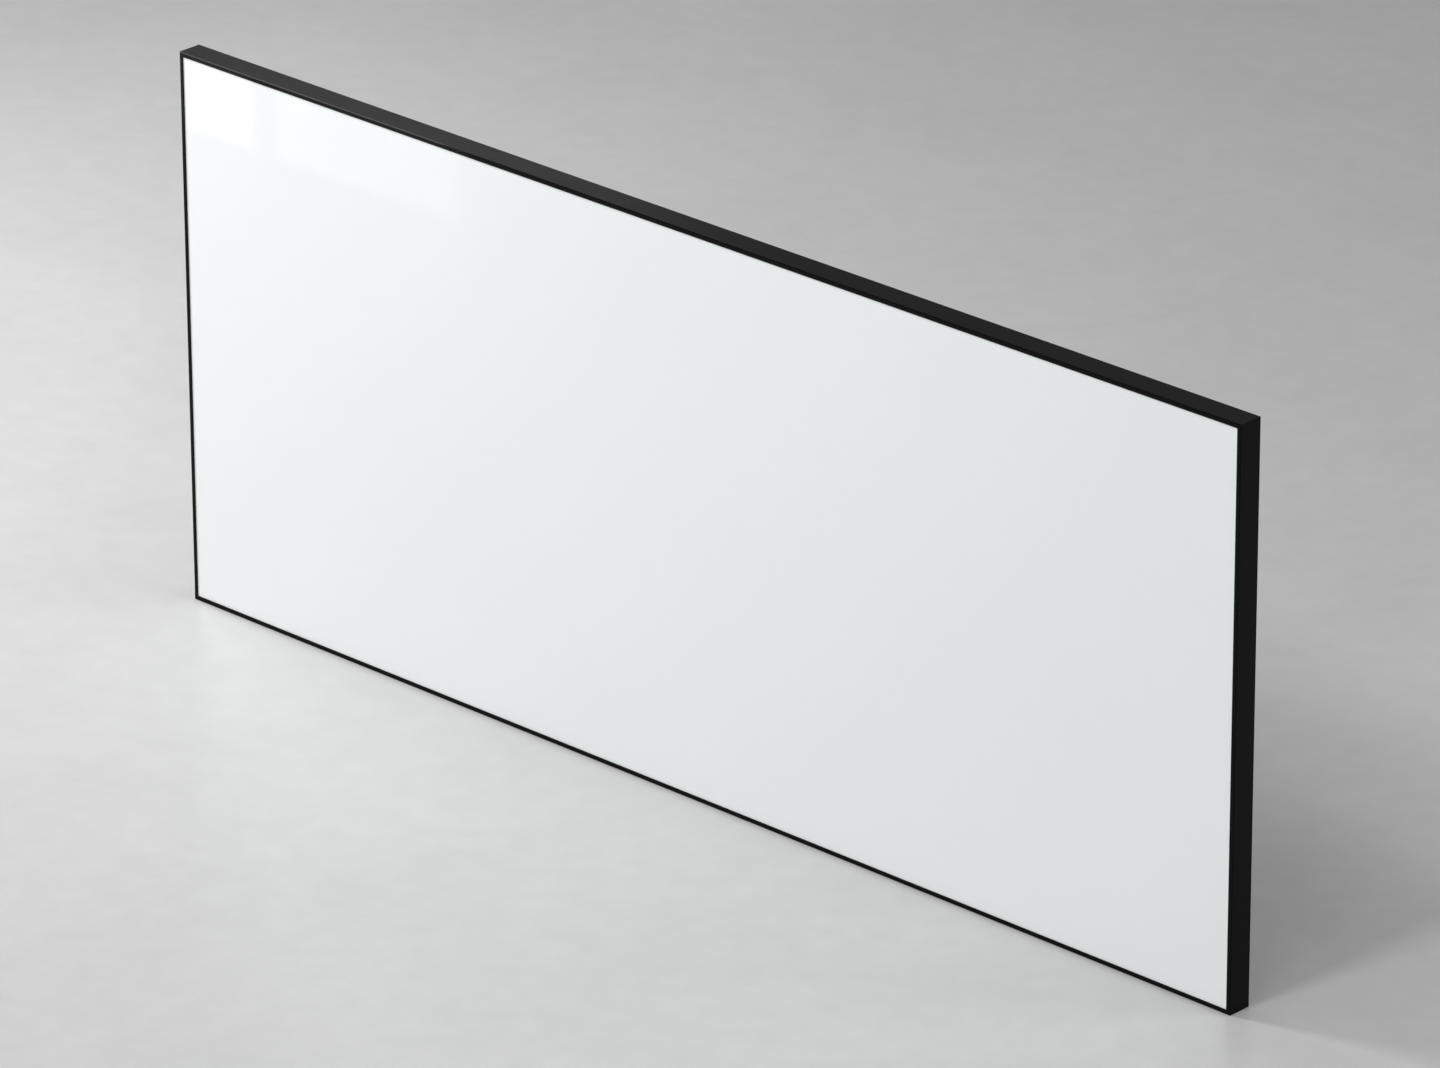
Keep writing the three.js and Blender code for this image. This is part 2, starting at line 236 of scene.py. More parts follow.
def spread(tree, value, low, high):
    """Maps noise, which stays mostly between its low and high level, to a range."""
    inputs = {"Value": value, "From Min": NOISE_LOW, "From Max": NOISE_HIGH, "To Min": low, "To Max": high}
    return add_node(tree, "ShaderNodeMapRange", inputs).outputs[0]


def tint(tree, value, dark, light):
    """Mixes two colours by a value from 0 to 1."""
    mix = add_node(tree, "ShaderNodeMix", data_type="RGBA")
    tree.links.new(value, mix.inputs["Factor"])
    mix.inputs[6].default_value = (*dark, 1)
    mix.inputs[7].default_value = (*light, 1)
    return mix.outputs[2]


# %% Make a material from a texture
def finish(name, texture, dark, light, smooth, rough, depth, metallic=0.0, specular=0.5):
    """A material: two colours, a range of roughness, and a relief of a depth in metres."""
    material = bpy.data.materials.new(name)
    material.use_nodes = True
    tree = material.node_tree
    shader = tree.nodes["Principled BSDF"]
    shader.inputs["Base Color"].default_value = (*dark, 1)
    shader.inputs["Roughness"].default_value = rough
    shader.inputs["Metallic"].default_value = metallic
    shader.inputs["Specular IOR Level"].default_value = specular
    shade, wear, relief = texture(tree)
    tree.links.new(tint(tree, shade, dark, light), shader.inputs["Base Color"])
    if smooth < rough:
        tree.links.new(spread(tree, wear, smooth, rough), shader.inputs["Roughness"])
    normal = add_node(tree, "ShaderNodeBump", {"Height": relief, "Distance": depth}).outputs[0]
    tree.links.new(normal, shader.inputs["Normal"])
    print("finish", name)
    return material


# %% [markdown]
# ## The finishes
#
# The trims and rails are black anodised aluminium. Up close it isn't one flat
# black: the pressing die leaves fine lines along the length, and the acid bath a
# faint grain. Object coordinates would draw the lines the same way on all four
# sides, across two of them. So the lines read the "run" attribute, which every
# long piece carries, and which turns with the piece.


# %% Black anodised aluminium
def pressed_metal(tree):
    """Lines along the run, a fine grain and slow clouds."""
    lines = run_noise(tree, (3, 2600, 2600), 4)
    grain = run_noise(tree, (1800, 1800, 1800), 2)
    cloud = run_noise(tree, (9, 14, 14), 2)
    shade = spread(tree, mixed(tree, lines, 0.6, cloud), 0, 1)
    return shade, mixed(tree, grain, 0.6, cloud), mixed(tree, lines, 0.7, grain)


trim_black = finish(
    "trim_black", pressed_metal, (0.0024, 0.0025, 0.0027), (0.0038, 0.0039, 0.0042),
    smooth=0.25, rough=0.35, depth=0.012 * MM, specular=0.07,
)
rail_black = finish(
    "rail_black", pressed_metal, (0.009, 0.0092, 0.0098), (0.015, 0.0153, 0.0162),
    smooth=0.4, rough=0.54, depth=0.012 * MM, specular=0.35,
)

# %% [markdown]
# The projection sheet is a soft plastic film. Its front is white with a little
# gloss, so a bright window shows in it with soft edges. The skin has a very fine
# texture that keeps the picture free of glare. Its back is coated black, so that
# no light comes through, and shows the cloth it was cast on. A weave could come
# from an image, but two crossed sine waves give the same relief at the true
# distance between the threads, and never blur.


# %% The sheet's white front
def film(tree):
    """Slow clouds in the colour, and a very fine skin."""
    cloud = object_noise(tree, 1.6, 2)
    skin = object_noise(tree, 1500, 2)
    return spread(tree, cloud, 0, 1), skin, skin


white_front = finish(
    "picture_white", film, (0.849, 0.877, 0.881), (0.863, 0.891, 0.895),
    smooth=0.12, rough=0.18, depth=0.002 * MM,
)


# %% Woven cloth, for the sheet's back and the hems
def back_ways(tree):
    """The two ways across the sheet's back."""
    x, _, z = parted(tree, add_node(tree, "ShaderNodeTexCoord").outputs["Object"])
    return x, z


def hem_ways(tree):
    """Along the hem, and round it."""
    along, depth, inwards = parted(tree, run_place(tree))
    return along, calc(tree, "ADD", depth, inwards)


def coated_cloth(ways_of, thread_gap):
    """A texture of threads that pass over and under each other, under a patchy coat."""
    def texture(tree):
        turns = [calc(tree, "MULTIPLY", way, 2 * math.pi / thread_gap) for way in ways_of(tree)]
        across, down = [calc(tree, "SINE", turn) for turn in turns]
        height = calc(tree, "MULTIPLY_ADD", calc(tree, "MULTIPLY", across, down), 0.5, 0.5)
        patchy = object_noise(tree, 7, 3)
        return mixed(tree, height, 0.5, patchy), patchy, height
    return texture


black_back = finish(
    "black_back", coated_cloth(back_ways, 1.1 * MM), (0.012, 0.012, 0.013), (0.026, 0.026, 0.028),
    smooth=0.54, rough=0.66, depth=0.03 * MM, specular=0.35,
)
black_hem = finish(
    "black_hem", coated_cloth(hem_ways, 0.8 * MM), (0.008, 0.008, 0.008), (0.02, 0.02, 0.02),
    smooth=0.72, rough=0.84, depth=0.08 * MM, specular=0.35,
)

# %% [markdown]
# The small parts behind are zinc-plated steel, black moulded nylon and glass
# fibre rod. Zinc plate has a faint crystal pattern, nylon a dull fine skin, and a
# pulled glass fibre rod has streaks along it. One grey for all of them would do
# from afar, but these differences are what tells metal from plastic up close.


# %% Zinc plate, nylon, glass fibre and thread
def zinc_crystals(tree):
    """Faint crystals, with a fine grain."""
    cells = {"Vector": object_place(tree, 260), "Scale": 1.0}
    crystal = add_node(tree, "ShaderNodeTexVoronoi", cells).outputs["Color"]
    fine = object_noise(tree, 900, 3)
    return add_node(tree, "ShaderNodeSeparateColor", {"Color": crystal}).outputs[0], fine, fine


def spark_skin(tree):
    """The dull skin of a spark-eroded mould."""
    skin = object_noise(tree, 2600, 2)
    return object_noise(tree, 120, 2), skin, skin


def pulled_streaks(tree):
    """Streaks along a pulled rod."""
    streaks = run_noise(tree, (12, 3200, 3200), 4)
    return spread(tree, streaks, 0, 1), streaks, streaks


def twisted_ply(tree):
    """Twisted thread, whose gloss is the same all over."""
    twist = {"Vector": object_place(tree, 1), "Scale": 700.0}
    ply = add_node(tree, "ShaderNodeTexWave", twist, bands_direction="DIAGONAL").outputs["Fac"]
    return ply, None, ply


zinc = finish(
    "zinc_plate", zinc_crystals, (0.46, 0.47, 0.49), (0.56, 0.57, 0.585),
    smooth=0.3, rough=0.46, depth=0.01 * MM, metallic=1.0,
)
nylon = finish(
    "moulded_nylon", spark_skin, (0.011, 0.011, 0.012), (0.018, 0.018, 0.019),
    smooth=0.42, rough=0.58, depth=0.03 * MM,
)
fibre = finish(
    "pulled_fibre", pulled_streaks, (0.5, 0.46, 0.34), (0.7, 0.66, 0.54),
    smooth=0.38, rough=0.52, depth=0.02 * MM,
)
thread = finish(
    "seam_thread", twisted_ply, (0.012, 0.012, 0.013), (0.034, 0.034, 0.036),
    smooth=0.7, rough=0.7, depth=0.05 * MM,
)

# %% [markdown]
# ## Drawing a section
#
# The long pieces are made as the real ones are, by running a section along a
# length. These helpers draw a section: they round corners, follow an arc, and
# give a path the thickness of a strip. A Bevel modifier could round the edges
# afterwards, but in the section each corner has its own radius and stays closed.


# %% Round the corners of an outline or a path
CORNER_SHARE = 0.45


def evenly(points, radius):
    """Gives every corner the same radius."""
    return [(u, v, radius) for u, v in points]


def rounded(points, closed=True, steps=4):
    """Turns each (u, v, radius) corner into a small curve."""
    line = []
    for i, (u, v, radius) in enumerate(points):
        corner = Vector((u, v))
        if radius == 0 or (not closed and i in (0, len(points) - 1)):
            line.append(corner)
            continue
        before = Vector(points[i - 1][:2]) - corner
        after = Vector(points[(i + 1) % len(points)][:2]) - corner
        start = corner + before.normalized() * min(radius, before.length * CORNER_SHARE)
        end = corner + after.normalized() * min(radius, after.length * CORNER_SHARE)
        for k in range(steps + 1):
            t = k / steps
            line.append(start * (1 - t) ** 2 + corner * (2 * t * (1 - t)) + end * t ** 2)
    return line


def arc(centre, radius, start, end, steps):
    """Points round part of a circle, from one angle to another."""
    angles = [start + (end - start) * k / steps for k in range(steps + 1)]
    return [Vector((centre[0] + radius * math.cos(a), centre[1] + radius * math.sin(a))) for a in angles]


# %% Give a path the thickness of a strip
def strip(path, thickness):
    """The outline of a strip of even thickness that follows a path."""
    one_side, other_side = [], []
    for i, point in enumerate(path):
        into = (point - path[i - 1] if i else path[1] - point).normalized()
        out = (path[i + 1] - point if i < len(path) - 1 else into).normalized()
        across = Vector((-into.y - out.y, into.x + out.x)).normalized()
        half = thickness / 2 / across.dot(Vector((-into.y, into.x)))
        one_side.append(point + across * half)
        other_side.insert(0, point - across * half)
    return one_side + other_side


# %% Turn outlines into a mesh of edges
def loops_mesh(name, loops):
    """A mesh with one closed loop of edges for each outline."""
    places, edges = [], []
    for loop in loops:
        first, count = len(places), len(loop)
        places += [(p[0], p[1], 0) for p in loop]
        edges += [(first + i, first + (i + 1) % count) for i in range(count)]
    mesh = bpy.data.meshes.new(name)
    mesh.from_pydata(places, edges, [])
    return mesh


# %% [markdown]
# ## A geometry tree for a mitred run
#
# Trims, rails and hems all do the same thing: a section runs along a side and is
# cut at 45 degrees at both ends. That is a rule, so it is one Geometry Nodes tree.
# It fills the section, pulls it out, and moves each end point back by its own u,
# which is what makes the mitre. It could be done with a curve and a bevel, but a
# curve can't cut its ends to a clean mitre with a gap.


# %% Helpers for geometry trees
def new_geometry_tree(name, sockets):
    """A geometry tree that takes a mesh, a material and the inputs given as {name: kind}."""
    tree = bpy.data.node_groups.new(name, "GeometryNodeTree")
    for label, kind in {"Geometry": "Geometry", **sockets, "Material": "Material"}.items():
        tree.interface.new_socket(label, in_out="INPUT", socket_type=f"NodeSocket{kind}")
    tree.interface.new_socket("Geometry", in_out="OUTPUT", socket_type="NodeSocketGeometry")
    return tree, tree.nodes.new("NodeGroupInput").outputs


def end_tree(tree, geometry, material):
    """Realizes the instances, sets the material and joins the output."""
    real = add_node(tree, "GeometryNodeRealizeInstances", {"Geometry": geometry}).outputs[0]
    painted = add_node(tree, "GeometryNodeSetMaterial", {"Geometry": real, "Material": material})
    add_node(tree, "NodeGroupOutput", {"Geometry": painted.outputs[0]})


def laid_out(tree, solid, run, spot, material):
    """Stores each point's run, puts it at its spot and ends the tree."""
    stored = {"Geometry": solid, "Name": "run", "Value": run}
    marked = add_node(
        tree, "GeometryNodeStoreNamedAttribute", stored, data_type="FLOAT_VECTOR", domain="POINT",
    ).outputs[0]
    put = add_node(tree, "GeometryNodeSetPosition", {"Geometry": marked, "Position": spot}).outputs[0]
    end_tree(tree, put, material)
    return tree


# %% Fill a section and pull it out
DOUBLES = 0.001 * MM


def pulled_section(tree, edges):
    """A closed solid, one metre long, from loops of edges in a plane."""
    curves = add_node(tree, "GeometryNodeMeshToCurve", {"Mesh": edges}).outputs[0]
    face = add_node(tree, "GeometryNodeFillCurve", {"Curve": curves}, mode="TRIANGLES").outputs[0]
    pulled = add_node(
        tree, "GeometryNodeExtrudeMesh", {"Mesh": face, "Offset": (0, 0, 1), "Individual": False},
    ).outputs["Mesh"]
    near_end = add_node(tree, "GeometryNodeFlipFaces", {"Mesh": face}).outputs[0]
    both = add_node(tree, "GeometryNodeJoinGeometry")
    tree.links.new(pulled, both.inputs[0])
    tree.links.new(near_end, both.inputs[0])
    merged = {"Geometry": both.outputs[0], "Distance": DOUBLES}
    return add_node(tree, "GeometryNodeMergeByDistance", merged).outputs[0]


# %% The mitred run
def mitred_run_tree():
    """Runs a section along a side and mitres both ends."""
    tree, given = new_geometry_tree("mitred_run", {"Length": "Float", "Setback": "Float"})
    solid = pulled_section(tree, given["Geometry"])
    u, v, end = parted(tree, add_node(tree, "GeometryNodeInputPosition").outputs[0])
    half = calc(tree, "MULTIPLY", given["Length"], 0.5)
    cut = calc(tree, "SUBTRACT", calc(tree, "SUBTRACT", half, u), given["Setback"])
    sign = calc(tree, "SUBTRACT", calc(tree, "MULTIPLY", calc(tree, "GREATER_THAN", end, 0.5), 2), 1)
    along = calc(tree, "MULTIPLY", cut, sign)
    run = vector_of(tree, X=along, Y=v, Z=u)
    spot = vector_of(tree, X=along, Y=v, Z=calc(tree, "MULTIPLY", u, -1))
    return laid_out(tree, solid, run, spot, given["Material"])


mitred_run = mitred_run_tree()
print("tree", mitred_run.name, "with", len(mitred_run.nodes), "nodes")

# %% [markdown]
# ## Running a tree, and handing a piece over
#
# A tree is run on a small source object. Its result becomes a plain mesh, and the
# source and its modifier go. A finished piece is moved into place inside its own
# mesh, so that its object stays at the origin, and then rides on the frame.


# %% Run a geometry tree
def only_material(mesh, material):
    """Leaves one material on a mesh, and every face with it."""
    mesh.materials.clear()
    mesh.materials.append(material)
    mesh.polygons.foreach_set("material_index", [0] * len(mesh.polygons))


def grow(mesh, tree, values):
    """Runs a tree on a mesh and returns the result as a plain mesh."""
    source = bpy.data.objects.new("source", mesh)
    bpy.context.collection.objects.link(source)
    modifier = source.modifiers.new("grow", "NODES")
    modifier.node_group = tree
    for socket in tree.interface.items_tree:
        if socket.in_out == "INPUT" and socket.name in values:
            modifier[socket.identifier] = values[socket.name]
    depsgraph = bpy.context.evaluated_depsgraph_get()
    grown = bpy.data.meshes.new_from_object(source.evaluated_get(depsgraph))
    source.modifiers.remove(modifier)
    bpy.data.objects.remove(source)
    only_material(grown, values["Material"])
    return grown


def closed_mesh(mesh):
    """Merges a mesh's doubled points and turns its faces out."""
    work = bmesh.new()
    work.from_mesh(mesh)
    bmesh.ops.remove_doubles(work, verts=work.verts, dist=DOUBLES)
    bmesh.ops.recalc_face_normals(work, faces=work.faces)
    work.to_mesh(mesh)
    work.free()
    return mesh


def finished(work, name):
    """Turns the faces of a closed shape out and makes it a mesh."""
    bmesh.ops.recalc_face_normals(work, faces=work.faces)
    mesh = bpy.data.meshes.new(name)
    work.to_mesh(mesh)
    work.free()
    return mesh


# %% Hand a piece over
def hand_over(name, mesh, nodes):
    """Makes the piece's object, and lets it stand for its nodes of the model."""
    mesh.name = name
    piece = bpy.data.objects.new(name, mesh)
    bpy.context.collection.objects.link(piece)
    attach(piece, "root")
    if nodes:
        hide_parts(*nodes)
    print(name, len(mesh.polygons), "faces, stands for", len(nodes), "nodes")
    return piece


def run_on_side(name, loops, side, material, nodes):
    """A mitred run of a section on one side of the frame."""
    values = {"Length": SIDES[side]["length"], "Setback": MITRE_SETBACK, "Material": material}
    mesh = closed_mesh(grow(loops_mesh(name, loops), mitred_run, values))
    return hand_over(name, set_on_side(mesh, side), nodes)


# %% [markdown]
# ## The outer trims
#
# The trim is the part of the frame that shows. It is an L with a short return:
# an 8 mm lip in front, the wide outer wall, and a lip that grips the back. Its
# front edge has a 1.2 mm chamfer, which catches the light as a thin line along
# the top of the screen. A box with a bevel would look much the same from the
# front, but this one is hollow, as the real one is, and its mitres can be seen.

# %% Trim sizes and section
TRIM_WALL = 1.6 * MM
TRIM_LIP = 8 * MM
TRIM_RETURN = 5 * MM
TRIM_CHAMFER = 1.2 * MM
LIP_EASE = 0.4 * MM
SOFT = 0.15 * MM


def trim_section():
    """The trim's outline, from the chamfer round to the return."""
    return rounded([
        (TRIM_CHAMFER, 0, SOFT),
        (TRIM_LIP, 0, LIP_EASE),
        (TRIM_LIP, TRIM_WALL, SOFT),
        (TRIM_WALL, TRIM_WALL, SOFT),
        (TRIM_WALL, DEPTH - TRIM_WALL, SOFT),
        (TRIM_RETURN, DEPTH - TRIM_WALL, SOFT),
        (TRIM_RETURN, DEPTH, LIP_EASE),
        (0, DEPTH, LIP_EASE),
        (0, TRIM_CHAMFER, SOFT),
    ])


for side in SIDES:
    run_on_side(f"outer_trim_{side}", [trim_section()], side, trim_black, [f"trim_{side}"])

# %% [markdown]
# ## The rails
#
# A rail is one extrusion with three spaces: a closed chamber in front that makes
# it stiff, a channel where the tension clips hook the rod, and a channel with a
# slot for sliding nuts. Booleans could cut these out of a bar. Drawn in the
# section they cost nothing, and a loop inside the outline makes the chamber.

# %% Rail sizes
RAIL_WALL = 1.8 * MM
RAIL_ROUND = 1.5 * MM
CHAMBER_DEPTH = 18 * MM
OUTER_LIP = 6 * MM
CLIP_SLOT = 14 * MM
BOLT_CHANNEL = 16.3 * MM
BOLT_SLOT = 9 * MM
RAIL_SOFT = 0.4 * MM

FLANGE_FRONT = RAIL_BACK - RAIL_WALL
WEB_FRONT = RAIL_FRONT + RAIL_WALL + CHAMBER_DEPTH
WEB_BACK = WEB_FRONT + RAIL_WALL
CLIP_SLOT_START = RAIL_OUTER + OUTER_LIP
CLIP_SLOT_END = CLIP_SLOT_START + CLIP_SLOT
BOLT_CHANNEL_END = RAIL_INNER - RAIL_WALL
BOLT_CHANNEL_START = BOLT_CHANNEL_END - BOLT_CHANNEL
BOLT_LINE = BOLT_CHANNEL_START + BOLT_CHANNEL / 2
BOLT_SLOT_START = BOLT_LINE - BOLT_SLOT / 2
BOLT_SLOT_END = BOLT_LINE + BOLT_SLOT / 2


# %% Rail section
def rail_sections():
    """The rail's outline and its closed chamber."""
    outer = RAIL_OUTER + RAIL_WALL
    front = RAIL_FRONT + RAIL_WALL
    middle = BOLT_CHANNEL_START - RAIL_WALL
    outline = [
        (RAIL_INNER, RAIL_FRONT), (RAIL_OUTER, RAIL_FRONT), (RAIL_OUTER, RAIL_BACK),
        (CLIP_SLOT_START, RAIL_BACK), (CLIP_SLOT_START, FLANGE_FRONT),
        (outer, FLANGE_FRONT), (outer, WEB_BACK), (middle, WEB_BACK), (middle, FLANGE_FRONT),
        (CLIP_SLOT_END, FLANGE_FRONT), (CLIP_SLOT_END, RAIL_BACK),
        (BOLT_SLOT_START, RAIL_BACK), (BOLT_SLOT_START, FLANGE_FRONT),
        (BOLT_CHANNEL_START, FLANGE_FRONT), (BOLT_CHANNEL_START, WEB_BACK),
        (BOLT_CHANNEL_END, WEB_BACK), (BOLT_CHANNEL_END, FLANGE_FRONT),
        (BOLT_SLOT_END, FLANGE_FRONT), (BOLT_SLOT_END, RAIL_BACK), (RAIL_INNER, RAIL_BACK),
    ]
    corners = [(u, v, RAIL_ROUND if u == RAIL_OUTER else RAIL_SOFT) for u, v in outline]
    chamber = [(outer, front), (BOLT_CHANNEL_END, front), (BOLT_CHANNEL_END, WEB_FRONT), (outer, WEB_FRONT)]
    return [rounded(corners), rounded(evenly(chamber, RAIL_SOFT))]


for side in SIDES:
    run_on_side(f"inner_rail_{side}", rail_sections(), side, rail_black, [f"rail_{side}"])

# %% [markdown]
# ## The hems
#
# A hem is a strip of black coated cloth. It starts behind the sheet's edge, goes
# round the outside of the rail, folds over its back and ends in a pocket that
# holds the tension rod. Cloth could be simulated round the rail, but a hem under
# tension has only one shape, and a path draws it exactly.

# %% Hem sizes and section
SHEET_THICKNESS = 0.5 * MM
SHEET_TUCK = 4 * MM
HEM_THICKNESS = 0.5 * MM
HEM_LAP = 18 * MM
HEM_BEND = 1 * MM
HEM_OVERHANG = 0.8 * MM
POCKET_WRAP = math.radians(280)
POCKET_STEPS = 28
BEND_STEPS = 6
ROD_RADIUS = 2 * MM
CLIP_PLAY = 1.1 * MM
CLIP_THICKNESS = 1.6 * MM

SHEET_EDGE = TRIM_LIP - SHEET_TUCK
SHEET_FRONT = TRIM_WALL + FIT_GAP
HEM_FRONT = SHEET_FRONT + SHEET_THICKNESS + FIT_GAP + HEM_THICKNESS / 2
HEM_SIDE = TRIM_WALL + FIT_GAP + HEM_THICKNESS / 2
HEM_BACK = DEPTH - HEM_SIDE
HEM_FOLD = CLIP_SLOT_START + HEM_OVERHANG
POCKET_RADIUS = ROD_RADIUS + FIT_GAP + HEM_THICKNESS / 2
POCKET_OUTER = POCKET_RADIUS + HEM_THICKNESS / 2
HOOK_RADIUS = POCKET_OUTER + FIT_GAP + CLIP_THICKNESS / 2
ROD_PLACE = Vector((CLIP_SLOT_START + CLIP_PLAY + HOOK_RADIUS + CLIP_THICKNESS / 2, RAIL_BACK - POCKET_OUTER))


def hem_path():
    """The hem's middle line, from behind the sheet to the end of the pocket."""
    path = rounded([
        (SHEET_EDGE + HEM_LAP, HEM_FRONT, 0),
        (HEM_SIDE, HEM_FRONT, HEM_BEND),
        (HEM_SIDE, HEM_BACK, HEM_BEND),
        (HEM_FOLD, HEM_BACK, 0),
    ], closed=False, steps=BEND_STEPS)
    to_fold = Vector((HEM_FOLD, HEM_BACK)) - ROD_PLACE
    start = math.atan2(to_fold.y, to_fold.x) - math.acos(POCKET_RADIUS / to_fold.length)
    return path + arc(ROD_PLACE, POCKET_RADIUS, start, start - POCKET_WRAP, POCKET_STEPS)


# %% The four hems
hem_line = hem_path()

for side in SIDES:
    hem = run_on_side(
        f"wrapped_hem_{side}", [strip(hem_line, HEM_THICKNESS)], side, black_hem, [f"hem_{side}"],
    )

# %% [markdown]
# ## A geometry tree for a row
#
# Clips and stitches stand in rows at an even pitch. An Array modifier could make
# them, but it starts at one end, and these rows are centred on their side. One
# tree makes every row: it lays points on a line, puts a copy of the source on
# each, and can turn each copy a little about the depth axis. The seed is fixed,
# so the turns are the same every time.


# %% The row
def row_tree():
    """Copies the source along X, centred, with a small random turn."""
    sockets = {"Count": "Int", "Pitch": "Float", "Turn": "Float", "Seed": "Int"}
    tree, given = new_geometry_tree("row", sockets)
    gaps = calc(tree, "SUBTRACT", given["Count"], 1)
    first = calc(tree, "MULTIPLY", calc(tree, "MULTIPLY", gaps, given["Pitch"]), -0.5)
    points = {
        "Count": given["Count"],
        "Start Location": vector_of(tree, X=first),
        "Offset": vector_of(tree, X=given["Pitch"]),
    }
    line = add_node(tree, "GeometryNodeMeshLine", points).outputs[0]
    chance = add_node(tree, "FunctionNodeRandomValue", {"Seed": given["Seed"]}, data_type="FLOAT")
    tree.links.new(calc(tree, "MULTIPLY", given["Turn"], -1), chance.inputs[2])
    tree.links.new(given["Turn"], chance.inputs[3])
    turned = vector_of(tree, Y=chance.outputs[1])
    copied = {"Points": line, "Instance": given["Geometry"], "Rotation": turned}
    end_tree(tree, add_node(tree, "GeometryNodeInstanceOnPoints", copied).outputs[0], given["Material"])
    return tree


row = row_tree()
print("tree", row.name, "with", len(row.nodes), "nodes")

# %% [markdown]
# ## The hem's stitches
#
# The pocket is closed by a row of stitches on the back of the hem. A bump pattern
# could hint at them, but it would be flat at the edge. One stitch is a short
# thread that rises from the cloth and goes back into it. No two are quite in
# line. It has only a few faces, because there are hundreds in a row.

# %% A closed solid from rings
def ring_angles(count):
    """The angles of a ring's points."""
    return [2 * math.pi * j / count for j in range(count)]


def ring_stack(name, rings):
    """A closed solid from a stack of rings, each of them a list of places."""
    work = bmesh.new()
    made = [[work.verts.new(place) for place in ring] for ring in rings]
    for low, high in zip(made, made[1:]):
        for j in range(len(low)):
            n = (j + 1) % len(low)
            work.faces.new((low[j], low[n], high[n], high[j]))
    work.faces.new(made[0])
    work.faces.new(made[-1])
    return finished(work, name)


# %% Stitch sizes, and one stitch
STITCH_LENGTH = 3 * MM
STITCH_PITCH = 4.2 * MM
STITCH_RADIUS = 0.22 * MM
STITCH_RISE = 0.9 * STITCH_RADIUS
STITCH_SINK = 1.3 * STITCH_RADIUS
STITCH_TAPER = 0.25 * STITCH_RADIUS
STITCH_LINE = (TRIM_RETURN + HEM_FOLD) / 2
STITCH_STEPS = 4
STITCH_FACETS = 6
STITCH_TURN = math.radians(3)
STITCH_SEED = 7


def stitch_mesh():
    """A short tube along X that sinks at both ends."""
    rings = []
    for k in range(STITCH_STEPS + 1):
        t = 2 * k / STITCH_STEPS - 1
        x = t * STITCH_LENGTH / 2
        y = STITCH_RISE - STITCH_SINK * t * t
        r = STITCH_RADIUS - STITCH_TAPER * t * t
        rings.append([(x, y + r * math.cos(a), r * math.sin(a)) for a in ring_angles(STITCH_FACETS)])
    return ring_stack("stitch", rings)


# %% A row of stitches on each side
def side_row(name, source, side, count, pitch, u, v, material, slot, nodes, turn=0.0, seed=1):
    """A row of copies along a side, at u and v, around the side's middle."""
    values = {"Count": count, "Pitch": pitch, "Turn": turn, "Seed": seed, "Material": material}
    return hand_over(name, set_on_side(grow(source, row, values), side, 0, v, u), nodes)


for side, facts in SIDES.items():
    count = int((facts["length"] - 2 * RAIL_INNER) / STITCH_PITCH)
    place = (STITCH_LINE, HEM_BACK + HEM_THICKNESS / 2)
    side_row(
        f"stitches_{side}", stitch_mesh(), side, count, STITCH_PITCH, *place, thread, "hem", [],
        turn=STITCH_TURN, seed=STITCH_SEED,
    )

# %% [markdown]
# ## The tension rods
#
# A rod is pulled glass fibre, 4 mm thick, with its ends ground round so that it
# slides into the pocket without catching. A curve with a bevel has flat ends, so
# the rod is built here from rings along X that close in at the ends. Its points
# carry the "run" attribute for the streaks.

# %% Rod sizes and shape
ROD_END_INSET = 24 * MM
ROD_FACETS = 20
ROD_END_STEPS = 4
SHARP_ANGLE = math.radians(50)


def rod_mesh(length):
    """A closed round bar along X, with rounded ends."""
    half = []
    for k in range(ROD_END_STEPS):
        a = math.pi / 2 * k / ROD_END_STEPS
        half.append((length / 2 - ROD_RADIUS * (1 - math.sin(a)), ROD_RADIUS * math.cos(a)))
    outline = [(-x, r) for x, r in reversed(half)] + half
    angles = ring_angles(ROD_FACETS)
    return ring_stack("rod", [[(x, r * math.cos(a), r * math.sin(a)) for a in angles] for x, r in outline])


def mark_run(mesh):
    """Stores each point's place as the run attribute, before the piece is moved."""
    run = mesh.attributes.new("run", "FLOAT_VECTOR", "POINT")
    for vertex in mesh.vertices:
        run.data[vertex.index].vector = vertex.co
    return mesh


# %% The four rods
for side, facts in SIDES.items():
    mesh = mark_run(rod_mesh(facts["length"] - 2 * ROD_END_INSET))
    mesh.shade_smooth()
    mesh.set_sharp_from_angle(angle=SHARP_ANGLE)
    mesh.materials.append(fibre)
    set_on_side(mesh, side, 0, ROD_PLACE.y, ROD_PLACE.x)
    hand_over(f"hem_rod_{side}", mesh, [f"tension_rod_{side}"])

# %% [markdown]
# ## The tension clips
#
# A clip is a bent strip of nylon. It hooks round the pocket with the rod in it,
# rises out of the channel, bridges the middle lip and drops its toe into the bolt
# slot. Its shape is all in its side view, so a section is pulled to the clip's
# width and its edges are softened. The row tree sets the clips along each side.

# %% Clip sizes and section
CLIP_WIDTH = 24 * MM
CLIP_BEND = 1.6 * MM
CLIP_SOFT = 0.3 * MM
CLIP_END_INSET = 130 * MM
HOOK_START = math.radians(165)
HOOK_EXIT = math.radians(300)
HOOK_STEPS = 18
PLATE_FRONT = RAIL_BACK + FIT_GAP


